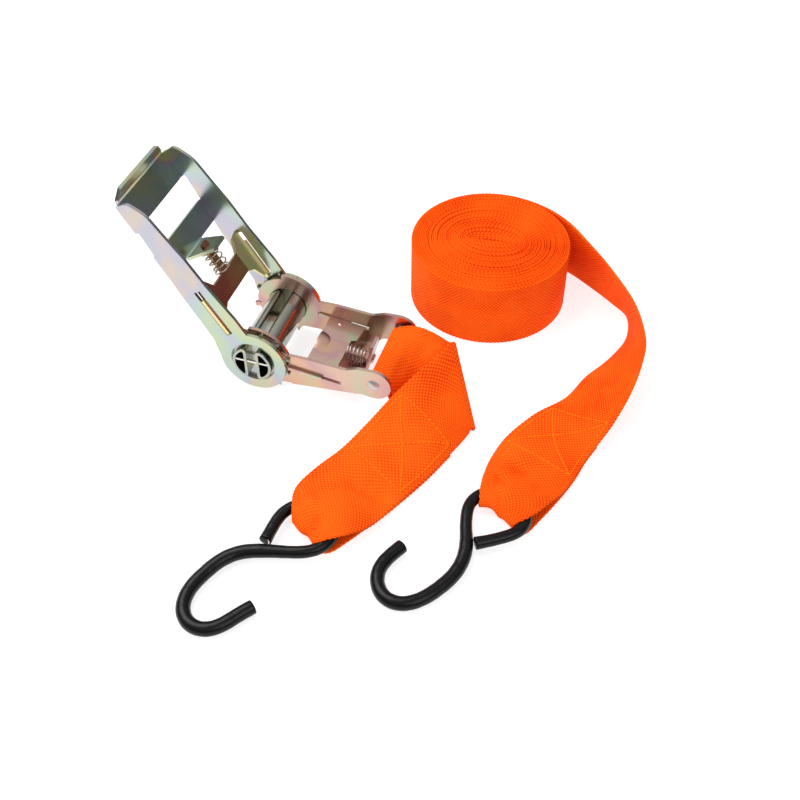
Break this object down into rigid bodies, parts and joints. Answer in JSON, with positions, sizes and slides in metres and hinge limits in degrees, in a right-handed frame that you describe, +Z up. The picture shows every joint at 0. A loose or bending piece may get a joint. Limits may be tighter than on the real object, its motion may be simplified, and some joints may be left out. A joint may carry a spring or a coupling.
{
  "type": "ratchet tie down",
  "caption": "Hand ratchet with a short hooked strap, and a long hooked strap rolled up, for lashing loads on a truck or trailer.",
  "frame": {"origin": "middle of the footprint, on the surface it lies on", "axes": "+X from the handle towards the strap end of the ratchet, +Y along the mandrel towards the coil, +Z up"},
  "size_m": [0.2536, 0.3028, 0.1073],
  "materials": {
    "zinc_steel": "yellow zinc plated",
    "bright_steel": "bright zinc plated",
    "webbing": "woven polyester",
    "thread": "sewing thread",
    "vinyl": "smooth dipped vinyl"
  },
  "bodies": {
    "base": {"base_frame": "zinc_steel", "tail_pin": "bright_steel", "short_strap": "webbing", "short_strap_hook_stitching": "thread", "short_strap_pin_stitching": "thread", "locking_pawl_spring": "bright_steel"},
    "handle": {"handle": "zinc_steel", "driving_pawl_spring": "bright_steel"},
    "mandrel": {"mandrel_half_tail_side": "zinc_steel", "mandrel_half_handle_side": "zinc_steel", "ratchet_gear_front": "zinc_steel", "ratchet_gear_rear": "zinc_steel", "mandrel_retaining_strip_front": "bright_steel", "mandrel_retaining_strip_rear": "bright_steel"},
    "locking_pawl": {"locking_pawl": "zinc_steel"},
    "driving_pawl": {"driving_pawl": "zinc_steel"},
    "short_hook": {"short_hook_wire": "bright_steel", "short_hook_coating": "vinyl"},
    "long_strap": {"long_strap_coil": "webbing", "long_strap_lead": "webbing", "long_strap_hook_stitching": "thread"},
    "long_hook": {"long_hook_wire": "bright_steel", "long_hook_coating": "vinyl"}
  },
  "joints": [
    {"name": "handle_fold", "type": "hinge", "parent": "base", "child": "handle", "pos_m": [-0.06291, 0.02239, 0.01905], "axis": [0, -1, 0], "range_deg": [-105, 60]},
    {"name": "mandrel_spin", "type": "hinge", "parent": "base", "child": "mandrel", "pos_m": [-0.06291, 0.02239, 0.01905], "axis": [0, -1, 0], "continuous": true},
    {"name": "locking_pawl_slide", "type": "slide", "parent": "base", "child": "locking_pawl", "axis": [0.9923, 0, -0.1236], "range_m": [0, 0.0055], "stiffness_N_per_m": 400, "springref_m": -0.004, "deforming": ["locking_pawl_spring"]},
    {"name": "driving_pawl_slide", "type": "slide", "parent": "handle", "child": "driving_pawl", "axis": [-0.5314, 0, 0.8471], "range_m": [0, 0.0055], "stiffness_N_per_m": 400, "springref_m": -0.004, "deforming": ["driving_pawl_spring"]},
    {"name": "short_hook_swing", "type": "hinge", "parent": "base", "child": "short_hook", "pos_m": [-0.00361, -0.08491, 0.00524], "axis": [0, 0, 1], "range_deg": [-20, 20]},
    {"name": "long_strap_lift", "type": "slide", "parent": "base", "child": "long_strap", "axis": [0, 0, 1], "range_m": [0, 0.12]},
    {"name": "long_hook_swing", "type": "hinge", "parent": "long_strap", "child": "long_hook", "pos_m": [0.0784, -0.05021, 0.00524], "axis": [0, 0, 1], "range_deg": [-15, 20]}
  ]
}
